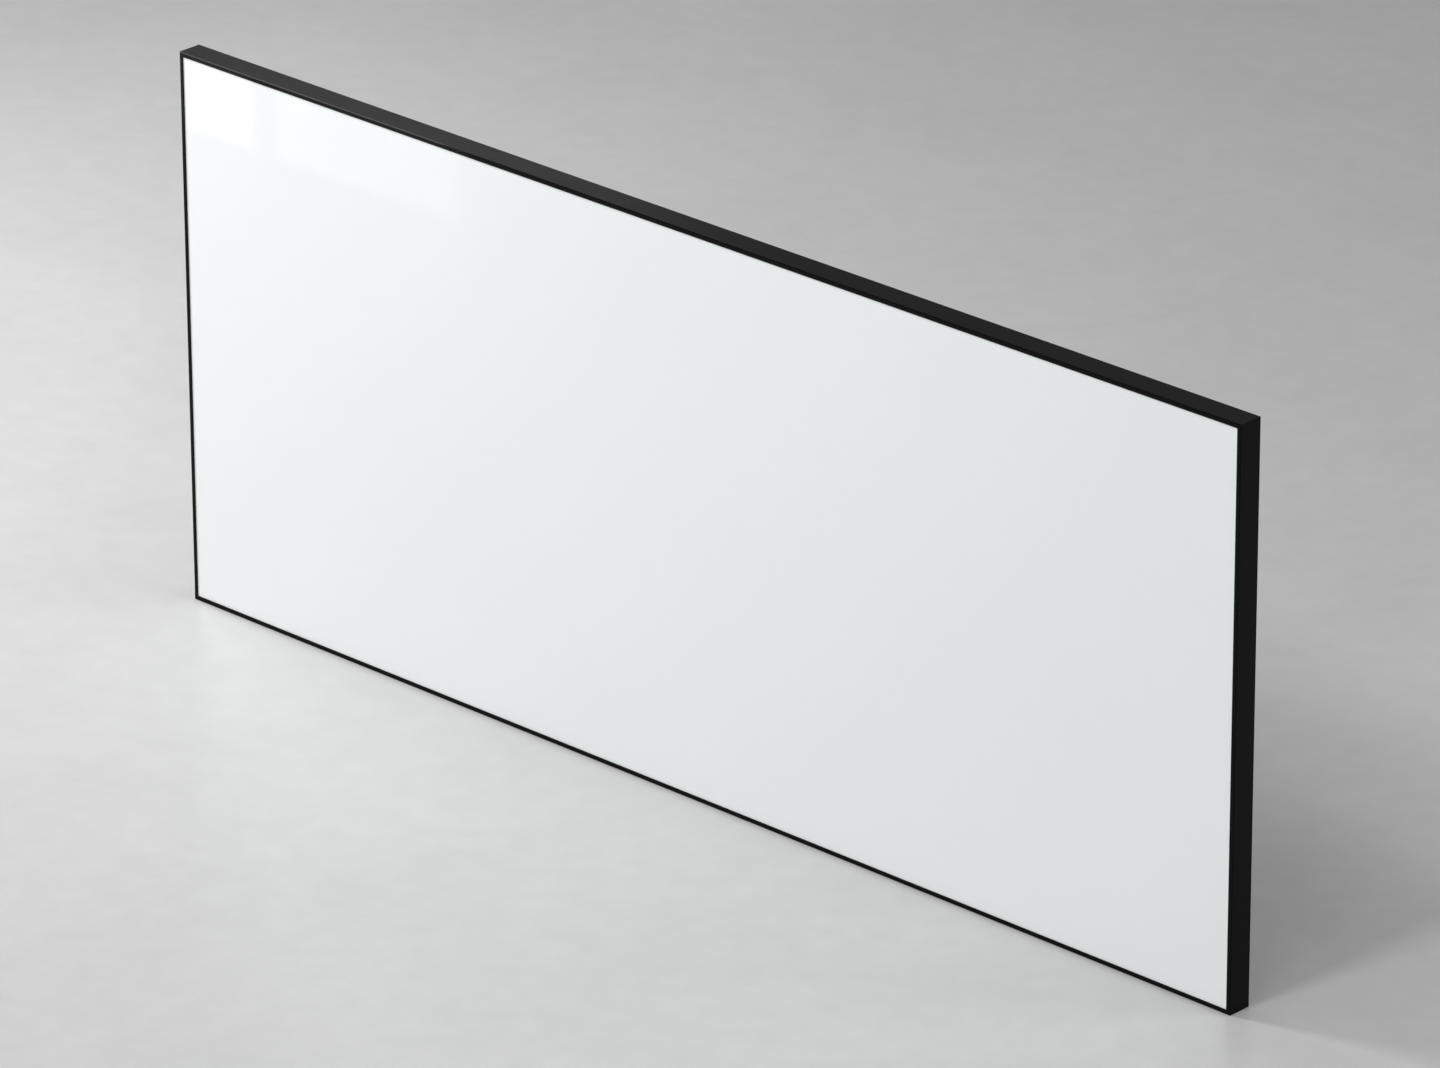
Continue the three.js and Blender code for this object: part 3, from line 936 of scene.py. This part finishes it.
def clip_section():
    """The clip's outline, from the hook's tip to the toe."""
    hook = arc(ROD_PLACE, HOOK_RADIUS, HOOK_START, HOOK_EXIT, HOOK_STEPS)
    riser = CLIP_SLOT_END - FIT_GAP - CLIP_THICKNESS / 2
    bridge = PLATE_FRONT + CLIP_THICKNESS / 2
    toe = BOLT_SLOT_START + FIT_GAP + CLIP_THICKNESS / 2
    foot = hook[-1].y - (riser - hook[-1].x) / math.tan(HOOK_EXIT)
    arm = rounded([
        (hook[-1].x, hook[-1].y, 0),
        (riser, foot, CLIP_BEND),
        (riser, bridge, CLIP_BEND),
        (toe, bridge, CLIP_BEND),
        (toe, FLANGE_FRONT, 0),
    ], closed=False, steps=BEND_STEPS)
    return strip(hook + arm[1:], CLIP_THICKNESS)


# %% Pull a section to a width, with soft edges
def pulled_piece(name, section, width, soft):
    """A section pulled along X and centred, with bevelled edges."""
    work = bmesh.new()
    near = [work.verts.new((-width / 2, p.y, -p.x)) for p in section]
    far = [work.verts.new((width / 2, p.y, -p.x)) for p in section]
    work.faces.new(near)
    work.faces.new(far)
    for i in range(len(section)):
        n = (i + 1) % len(section)
        work.faces.new((near[i], near[n], far[n], far[i]))
    bmesh.ops.recalc_face_normals(work, faces=work.faces)
    rims = [e for e in work.edges if e.calc_face_angle(0) > SHARP_ANGLE]
    bmesh.ops.bevel(work, geom=rims, offset=soft, segments=2, profile=0.5, affect="EDGES")
    return finished(work, name)


# %% The rows of clips
def clip_pitch(side):
    """How far apart the clips of a side stand."""
    return (SIDES[side]["length"] - 2 * CLIP_END_INSET) / (SIDES[side]["clips"] - 1)


for side, facts in SIDES.items():
    clip = pulled_piece("clip", clip_section(), CLIP_WIDTH, CLIP_SOFT)
    nodes = [f"tension_clip_{side}_{i + 1:02d}" for i in range(facts["clips"])]
    pitch = clip_pitch(side)
    side_row(f"clip_row_{side}", clip, side, facts["clips"], pitch, 0, 0, nylon, "clip", nodes)
    print("pitch on", side, round(pitch / MM, 1), "mm")

# %% [markdown]
# ## Plates with holes
#
# The corner brackets, the bar's plates and the hanger plates are cut from sheet
# metal. A flat Blender curve suits them: it takes an outline with holes, gives it
# thickness and rounds its edges in one step. The result is made a mesh, and the
# screws are made apart, so that each has its own thin joint line.


# %% A plate from outlines
HOLE_FACETS = 32


def plate_mesh(name, outlines, thickness, soft, back):
    """A flat plate in x and z, with its wall side at depth v = back."""
    curve = bpy.data.curves.new(name, "CURVE")
    curve.dimensions = "2D"
    curve.fill_mode = "BOTH"
    curve.extrude = thickness / 2 - soft
    curve.bevel_depth = soft
    curve.bevel_resolution = 1
    curve.offset = -soft
    for outline in outlines:
        spline = curve.splines.new("POLY")
        spline.points.add(len(outline) - 1)
        for point, place in zip(spline.points, outline):
            point.co = (place[0], place[1], 0, 1)
        spline.use_cyclic_u = True
    holder = bpy.data.objects.new(name, curve)
    bpy.context.collection.objects.link(holder)
    depsgraph = bpy.context.evaluated_depsgraph_get()
    mesh = bpy.data.meshes.new_from_object(holder.evaluated_get(depsgraph))
    bpy.data.objects.remove(holder)
    mesh.transform(Matrix.Rotation(math.pi / 2, 4, "X"))
    mesh.transform(Matrix.Translation((0, back - thickness / 2, 0)))
    return closed_mesh(mesh)


def circle(x, z, radius):
    """The outline of a round hole."""
    return arc((x, z), radius, 0, 2 * math.pi * (HOLE_FACETS - 1) / HOLE_FACETS, HOLE_FACETS - 1)


# %% [markdown]
# ## Screws
#
# A set screw is a short threaded pin with a hexagonal socket. The thread is too
# fine to matter at this size, but the socket shows, and so does the small chamfer
# round the end. A countersunk screw is the same with a wider flat head. A Boolean
# could cut the socket, but it leaves long thin faces, so both are stacks of rings
# that turn from round to hexagonal and end in the socket's floor.

# %% Screw sizes and shape
SCREW_RADIUS = 3 * MM
SCREW_LENGTH = 11 * MM
SOCKET_RADIUS = 1.7 * MM
SOCKET_DEPTH = 2.6 * MM
HEAD_RADIUS = 5.2 * MM
HEAD_DEPTH = 1.8 * MM
SCREW_CHAMFER = 0.35 * MM
SCREW_TIP_RADIUS = 0.7 * SCREW_RADIUS
SOCKET_MOUTH_RADIUS = 1.12 * SOCKET_RADIUS
SCREW_FACETS = 24
SIXTH_TURN = math.pi / 3


def screw_mesh(name, length, head_radius):
    """A screw along Y with its driven end at y = 0 and its tip towards -Y."""
    steps = [
        (SCREW_TIP_RADIUS, -length, False),
        (SCREW_RADIUS, -length + SCREW_CHAMFER * 2, False),
        (SCREW_RADIUS, -HEAD_DEPTH, False),
        (head_radius, -SCREW_CHAMFER, False),
        (head_radius - SCREW_CHAMFER, 0, False),
        (SOCKET_MOUTH_RADIUS, 0, True),
        (SOCKET_RADIUS, -SCREW_CHAMFER / 2, True),
        (SOCKET_RADIUS, -SOCKET_DEPTH, True),
    ]
    rings = []
    for radius, y, hexagonal in steps:
        ring = []
        for a in ring_angles(SCREW_FACETS):
            from_flat = a % SIXTH_TURN - SIXTH_TURN / 2
            r = radius * math.cos(SIXTH_TURN / 2) / math.cos(from_flat) if hexagonal else radius
            ring.append((r * math.cos(a), y, r * math.sin(a)))
        rings.append(ring)
    return ring_stack(name, rings)


# %% Join meshes
def joined(name, meshes, material):
    """One mesh from several, with one material."""
    work = bmesh.new()
    for mesh in meshes:
        work.from_mesh(mesh)
    whole = finished(work, name)
    only_material(whole, material)
    return whole


def moved(mesh, x, y, z):
    """The same mesh, moved."""
    mesh.transform(Matrix.Translation((x, y, z)))
    return mesh


# %% [markdown]
# ## The corner brackets
#
# An L plate slides into the bolt channels of both rails, and four set screws
# press against the rail's web and lock the corner. Only the sockets show, through
# the slots. A mirrored copy would have its faces inside out, so the plate is
# drawn for the top left corner and turned to the others.

# %% Corner bracket sizes
BRACKET_REACH = 95 * MM
BRACKET_THICKNESS = 5 * MM
SET_SCREW_INSET = 15 * MM
SET_SCREW_PITCH = 22 * MM
NUT_BACK = FLANGE_FRONT - FIT_GAP
BRACKET_SOFT = 0.5 * MM
BRACKET_ROUND = 2 * MM
BRACKET_CROOK = 1 * MM

CORNERS = {
    "top_left": (0, -WIDTH / 2, HEIGHT),
    "top_right": (math.pi / 2, WIDTH / 2, HEIGHT),
    "bottom_right": (math.pi, WIDTH / 2, 0),
    "bottom_left": (-math.pi / 2, -WIDTH / 2, 0),
}


# %% One corner bracket with its screws
def bracket_screw_places():
    """Where the four set screws stand, from the frame's outer corner."""
    last = BRACKET_REACH - SET_SCREW_INSET
    stations = [last, last - SET_SCREW_PITCH]
    return [(s, -BOLT_LINE) for s in stations] + [(BOLT_LINE, -s) for s in stations]


def bracket_mesh():
    """The L plate with four threaded holes, and a set screw in each."""
    near = BOLT_CHANNEL_START + FIT_GAP
    far = BOLT_CHANNEL_END - FIT_GAP
    outline = rounded([
        (near, -near, BRACKET_ROUND),
        (BRACKET_REACH, -near, BRACKET_ROUND),
        (BRACKET_REACH, -far, BRACKET_ROUND),
        (far, -far, BRACKET_CROOK),
        (far, -BRACKET_REACH, BRACKET_ROUND),
        (near, -BRACKET_REACH, BRACKET_ROUND),
    ])
    places = bracket_screw_places()
    holes = [circle(x, z, SCREW_RADIUS + FIT_GAP) for x, z in places]
    plate = plate_mesh("bracket", [outline] + holes, BRACKET_THICKNESS, BRACKET_SOFT, NUT_BACK)
    length = NUT_BACK - WEB_BACK - FIT_GAP
    screws = [moved(screw_mesh("set_screw", length, SCREW_RADIUS), x, NUT_BACK, z) for x, z in places]
    return joined("bracket", [plate] + screws, zinc)


# %% The four corner brackets
for corner, (turn, x, z) in CORNERS.items():
    mesh = bracket_mesh()
    mesh.transform(Matrix.Translation((x, -DEPTH / 2, z)) @ Matrix.Rotation(turn, 4, "Y"))
    hand_over(f"corner_joint_{corner}", mesh, [f"corner_bracket_{corner}"])

# %% [markdown]
# ## The support bar and its plates
#
# A long screen would bow inwards under the pull of its sheet, so a black tube
# stands behind the middle and keeps the long rails apart. It is a section with a
# loop inside, as the rails are, but it is cut square, so it has a simpler tree of
# its own. A plate at each end ties it to a rail: two screws go into sliding nuts
# in the bolt channel, and two into the tube.

# %% Support bar sizes and the tube
BAR_WIDTH = 30 * MM
BAR_DEPTH = 15 * MM
BAR_WALL = 1.5 * MM
BAR_ROUND = 1.5 * MM
BAR_INNER_ROUND = BAR_WALL / 3


def bar_mesh():
    """The section of a flat tube with round edges, open at both ends."""
    half = BAR_WIDTH / 2
    back = RAIL_BACK - DEPTH / 2
    front = back - BAR_DEPTH
    outer = [(-half, front), (half, front), (half, back), (-half, back)]
    low, high = -half + BAR_WALL, half - BAR_WALL
    near, far = front + BAR_WALL, back - BAR_WALL
    inner = [(low, near), (high, near), (high, far), (low, far)]
    return loops_mesh("bar", [rounded(evenly(outer, BAR_ROUND)), rounded(evenly(inner, BAR_INNER_ROUND))])


# %% A geometry tree for a straight tube
def straight_run_tree():
    """Pulls a section upwards to a length, with the run attribute."""
    tree, given = new_geometry_tree("straight_run", {"Length": "Float"})
    solid = pulled_section(tree, given["Geometry"])
    x, y, end = parted(tree, add_node(tree, "GeometryNodeInputPosition").outputs[0])
    along = calc(tree, "MULTIPLY", end, given["Length"])
    run = vector_of(tree, X=along, Y=y, Z=x)
    spot = vector_of(tree, X=x, Y=y, Z=along)
    return laid_out(tree, solid, run, spot, given["Material"])


straight_run = straight_run_tree()
bar_foot = RAIL_INNER + FIT_GAP
bar_values = {"Length": HEIGHT - 2 * bar_foot, "Material": rail_black}
bar = closed_mesh(grow(bar_mesh(), straight_run, bar_values))
hand_over("centre_bar", moved(bar, 0, 0, bar_foot), ["support_bar"])

# %% Plate sizes, screws and sliding nuts
PLATE_THICKNESS = 2 * MM
PLATE_BACK = PLATE_FRONT + PLATE_THICKNESS
PLATE_EDGE = BOLT_CHANNEL_START + 0.9 * MM
PLATE_SOFT = 0.25 * MM
PLATE_ROUND = 4 * MM
BAR_PLATE_WIDTH = 50 * MM
BAR_PLATE_LAP = 45 * MM
BAR_SCREW_INSET = 14 * MM
BAR_SCREW_PITCH = 18 * MM
RAIL_SCREW_PITCH = 26 * MM
SCREW_CLEARANCE = 0.15 * MM
SCREW_SUNK = 0.05 * MM
NUT_SIZE = Vector((20, 3.5, 14)) * MM
NUT_SOFT = 0.4 * MM


def nut_mesh():
    """A sliding nut: a small block with soft edges, its back at y = 0."""
    width, depth, height = NUT_SIZE
    corners = [(-height / 2, 0), (height / 2, 0), (height / 2, -depth), (-height / 2, -depth)]
    return pulled_piece("nut", [Vector(corner) for corner in corners], width, NUT_SOFT)


def plate_outline(width, end):
    """A plate with round corners, from its edge in the bolt channel to its end."""
    half = width / 2
    corners = [(-half, -end), (half, -end), (half, -PLATE_EDGE), (-half, -PLATE_EDGE)]
    return rounded(evenly(corners, PLATE_ROUND))


def rail_places(pitch):
    """Where a plate's two screws go into the bolt channel."""
    return [(-pitch / 2, -BOLT_LINE), (pitch / 2, -BOLT_LINE)]


def plate_with_screws(name, outline, extra_holes, in_rail, in_bar):
    """A plate with countersunk screws flush in it, and nuts on the rail's screws."""
    places = in_rail + in_bar
    holes = [circle(x, z, HEAD_RADIUS + SCREW_CLEARANCE) for x, z in places]
    plate = plate_mesh(name, [outline] + holes + extra_holes, PLATE_THICKNESS, PLATE_SOFT, PLATE_BACK)
    back = PLATE_BACK - SCREW_SUNK
    screws = [moved(screw_mesh("screw", SCREW_LENGTH, HEAD_RADIUS), x, back, z) for x, z in places]
    nuts = [moved(nut_mesh(), x, NUT_BACK, z) for x, z in in_rail]
    return joined(name, [plate] + screws + nuts, zinc)


# %% The two plates of the support bar
def bar_plate_mesh():
    """The tie plate between a rail and the bar, in a side's own space."""
    outline = plate_outline(BAR_PLATE_WIDTH, RAIL_INNER + BAR_PLATE_LAP)
    first = RAIL_INNER + FIT_GAP + BAR_SCREW_INSET
    in_bar = [(0, -first), (0, -first - BAR_SCREW_PITCH)]
    return plate_with_screws("bar_plate", outline, [], rail_places(RAIL_SCREW_PITCH), in_bar)


for side in ("top", "bottom"):
    mesh = set_on_side(bar_plate_mesh(), side)
    hand_over(f"bar_tie_{side}", mesh, [f"bar_plate_{side}"])

# %% [markdown]
# ## The hanger plates
#
# The screen hangs on two wall screws. Each plate has a keyhole: the round hole
# goes over the screw's head, and the slot above it drops onto the shank. The
# keyhole is one outline, two arcs that meet, because a flat curve takes it as it
# is, and a hole and a slot cut one after the other would need a Boolean.

# %% Hanger plate sizes and keyhole
HANGER_WIDTH = 60 * MM
HANGER_HEIGHT = 50 * MM
HANGER_CLIP_PITCHES = 3
HANGER_SCREW_PITCH = 36 * MM
KEYHOLE_RADIUS = 6 * MM
KEYHOLE_SLOT_WIDTH = 6 * MM
KEYHOLE_SLOT_LENGTH = 12 * MM
KEYHOLE_EDGE = 10 * MM


def keyhole():
    """A round hole with a slot above it, as one outline."""
    centre = -(PLATE_EDGE + HANGER_HEIGHT - KEYHOLE_EDGE - KEYHOLE_RADIUS)
    opening = math.asin(KEYHOLE_SLOT_WIDTH / 2 / KEYHOLE_RADIUS)
    bottom = arc(
        (0, centre), KEYHOLE_RADIUS, math.pi / 2 - opening, opening - 3 * math.pi / 2, HOLE_FACETS,
    )
    top = arc((0, centre + KEYHOLE_SLOT_LENGTH), KEYHOLE_SLOT_WIDTH / 2, math.pi, 0, HOLE_FACETS // 2)
    return bottom + top


# %% The two hanger plates
def hanger_mesh():
    """A plate with a keyhole, in the top side's own space."""
    outline = plate_outline(HANGER_WIDTH, PLATE_EDGE + HANGER_HEIGHT)
    return plate_with_screws("hanger_plate", outline, [keyhole()], rail_places(HANGER_SCREW_PITCH), [])


for name, sign in (("left", -1), ("right", 1)):
    mesh = set_on_side(hanger_mesh(), "top", sign * HANGER_CLIP_PITCHES * clip_pitch("top"))
    hand_over(f"wall_hanger_{name}", mesh, [f"hanger_plate_{name}"])

# %% [markdown]
# ## The projection sheet
#
# The sheet is a thin film, 0.5 mm thick, stretched flat. Its edge is tucked behind
# the trim's lip and seamed to the hems. A single plane would do from the front,
# but the sheet is seen from behind too, so it is a closed mesh whose white front
# and black back each have their own finish.

# %% The sheet
SHEET_COLUMNS = 48
SHEET_ROWS = 20


def sheet_mesh():
    """A thin closed panel of even squares, white in front and black behind."""
    half = WIDTH / 2 - SHEET_EDGE
    low, high = SHEET_EDGE, HEIGHT - SHEET_EDGE
    front = SHEET_FRONT - DEPTH / 2
    work = bmesh.new()
    layers = []
    for y in (front, front + SHEET_THICKNESS):
        layer = []
        for i in range(SHEET_COLUMNS + 1):
            x = -half + 2 * half * i / SHEET_COLUMNS
            heights = [low + (high - low) * j / SHEET_ROWS for j in range(SHEET_ROWS + 1)]
            layer.append([work.verts.new((x, y, z)) for z in heights])
        layers.append(layer)
    for k, layer in enumerate(layers):
        for i in range(SHEET_COLUMNS):
            for j in range(SHEET_ROWS):
                face = work.faces.new((layer[i][j], layer[i + 1][j], layer[i + 1][j + 1], layer[i][j + 1]))
                face.material_index = k
    bmesh.ops.bridge_loops(work, edges=[e for e in work.edges if e.is_boundary])
    mesh = finished(work, "sheet")
    mesh.materials.append(white_front)
    mesh.materials.append(black_back)
    return mesh


sheet = hand_over("picture_sheet", sheet_mesh(), ["screen_sheet"])

# %% [markdown]
# ## The floor
#
# The screen stands on a pale, smooth floor with a little gloss, so it keeps a
# soft shadow and a faint reflection of the sheet. A plain grey would look like
# paper: slow clouds and fine trowel marks, both only just visible, make it a
# floor. It is a stage, and isn't part of the object.

# %% The floor and its finish
FLOOR_SIZE = 60


def trowelled(tree):
    """Faint clouds and fine trowel marks."""
    cloud = object_noise(tree, 2.2, 3)
    marks = object_noise(tree, 18, 3)
    return spread(tree, mixed(tree, cloud, 0.5, marks), 0, 1), cloud, cloud


floor_mesh = bpy.data.meshes.new("floor")
edge = FLOOR_SIZE / 2
floor_corners = [(-edge, -edge, 0), (edge, -edge, 0), (edge, edge, 0), (-edge, edge, 0)]
floor_mesh.from_pydata(floor_corners, [], [(0, 1, 2, 3)])
floor_mesh.materials.append(finish(
    "pale_floor", trowelled, (0.58, 0.58, 0.58), (0.655, 0.655, 0.655),
    smooth=0.285, rough=0.345, depth=0.2 * MM,
))
floor = bpy.data.objects.new("floor", floor_mesh)
bpy.context.collection.objects.link(floor)
print("the floor is", FLOOR_SIZE, "m wide, with the finish", floor_mesh.materials[0].name)

# %% [markdown]
# ## The light
#
# The light is that of a plain studio: two keys, one high in front and one on the
# left, a weak light behind, and an even surround. The front key throws the shadow
# straight back. The left one makes the sheet a little brighter there, and throws
# the shadow to the right.
#
# Three fills even out the floor and the lower part of the sheet. The one in front
# is large and far away, so its light is the same nearly everywhere. Gloss doesn't
# show the left key and the fills, because low lamps would lie on the floor as
# white spots. The powers could be set by eye. Here each lamp was rendered alone,
# and the powers are the ones whose sum comes closest to the photograph.


# %% Area lights
def area_light(name, place, aim, size, power):
    """A rectangular light that faces a point."""
    data = bpy.data.lights.new(name, "AREA")
    data.shape = "RECTANGLE"
    data.size, data.size_y = size
    data.energy = power
    light = bpy.data.objects.new(name, data)
    bpy.context.collection.objects.link(light)
    light.location = place
    light.rotation_euler = (Vector(aim) - Vector(place)).to_track_quat("-Z", "Y").to_euler()
    return light


LAMPS = {
    "front_key": {"place": (0.7, -4.8, 5.8), "aim": (0, 0, 0.3), "size": (1, 1), "power": 130},
    "back": {"place": (-1.0, 3.5, 5.0), "aim": (0, 0.5, 0), "size": (2, 2), "power": 8},
}
SOFT_LAMPS = {
    "left_key": {"place": (-3.29, -1.34, 3.23), "aim": (-0.8, 0, 0.5), "size": (0.9, 0.9), "power": 107},
    "left_pool": {"place": (-3.2, 0.4, 2.2), "aim": (-1.9, 0.5, 0), "size": (1, 1), "power": 18},
    "far_fill": {"place": (7.6, -17, 4.3), "aim": (0, 0, 0.5), "size": (7.6, 4.7), "power": 725},
    "right_back": {"place": (3.0, 1.6, 2.4), "aim": (1.9, 0.6, 0), "size": (1, 1), "power": 19},
}

for name, lamp in LAMPS.items():
    area_light(name, **lamp)
for name, lamp in SOFT_LAMPS.items():
    area_light(name, **lamp).visible_glossy = False
print(len(LAMPS), "lamps and", len(SOFT_LAMPS), "soft lamps")

# %% [markdown]
# Gloss shows what lies in the mirror direction. Four cards of light are there for
# the gloss alone: two panes of a window, which show in the sheet's upper left, a
# wide card behind, which the left half of the top trim picks up, and a narrow one
# along the top edge, which draws the thin line of light on the chamfer. Each
# card is placed from the spot on the face where it should show. The camera's
# direction is turned over by the face, and the card goes that way.


# %% Cards that only gloss shows
def gloss_card(name, spot, normal, distance, facing, size, radiance):
    """A card that shows at a spot on a flat face, seen from the camera."""
    view = camera.matrix_world.to_3x3() @ Vector((0, 0, 1))
    mirror = 2 * view.dot(Vector(normal)) * Vector(normal) - view
    middle = Vector(spot) + mirror * distance
    card = area_light(name, middle, middle + Vector(facing), size, radiance * math.pi * size[0] * size[1])
    card.visible_diffuse = False
    card.visible_transmission = False


WINDOW_SILL = 0.88
WINDOW_TOP = 1.05
WINDOW_DISTANCE = 0.12


def pane(left, right, radiance):
    """One pane of the window, from where its sides show on the sheet."""
    return {
        "spot": ((left + right) / 2, -DEPTH / 2, (WINDOW_SILL + WINDOW_TOP) / 2),
        "normal": (0, -1, 0), "distance": WINDOW_DISTANCE, "facing": (0, 1, 0),
        "size": (right - left, WINDOW_TOP - WINDOW_SILL), "radiance": radiance,
    }


CARDS = {
    "pane_1": pane(-1.23, -1.015, 1.3),
    "pane_2": pane(-0.956, -0.521, 0.7),
    "top_card": {
        "spot": (-0.85, 0, HEIGHT), "normal": (0, 0, 1), "distance": 3.5,
        "facing": (0, -1, 0), "size": (1.5, 0.5), "radiance": 1.6,
    },
    "edge_card": {
        "spot": (-0.9, -DEPTH / 2, HEIGHT), "normal": (0, -math.sqrt(0.5), math.sqrt(0.5)), "distance": 0.15,
        "facing": (0, 1, -1), "size": (0.7, 0.08), "radiance": 16,
    },
}

for name, card in CARDS.items():
    gloss_card(name, **card)
print("cards for the gloss:", ", ".join(CARDS))

# %% [markdown]
# The surround is an even pale grey. The camera sees it a little paler than it
# shines. One value would do for both, but a surround as bright as the backdrop
# would also fill the shadows.

# %% The surround and the view transform
SURROUND_STRENGTH = 0.3
BACKDROP_STRENGTH = 0.45

world = bpy.data.worlds.new("surround")
world.use_nodes = True
bpy.context.scene.world = world
background = world.node_tree.nodes["Background"]
background.inputs["Color"].default_value = (1, 1, 1, 1)
world_tree = world.node_tree
from_camera = add_node(world_tree, "ShaderNodeLightPath").outputs["Is Camera Ray"]
extra = calc(world_tree, "MULTIPLY", from_camera, BACKDROP_STRENGTH - SURROUND_STRENGTH)
world_tree.links.new(calc(world_tree, "ADD", extra, SURROUND_STRENGTH), background.inputs["Strength"])
view_settings = bpy.context.scene.view_settings
view_settings.view_transform = "Standard"
print("surround", SURROUND_STRENGTH, "and view transform", view_settings.view_transform)
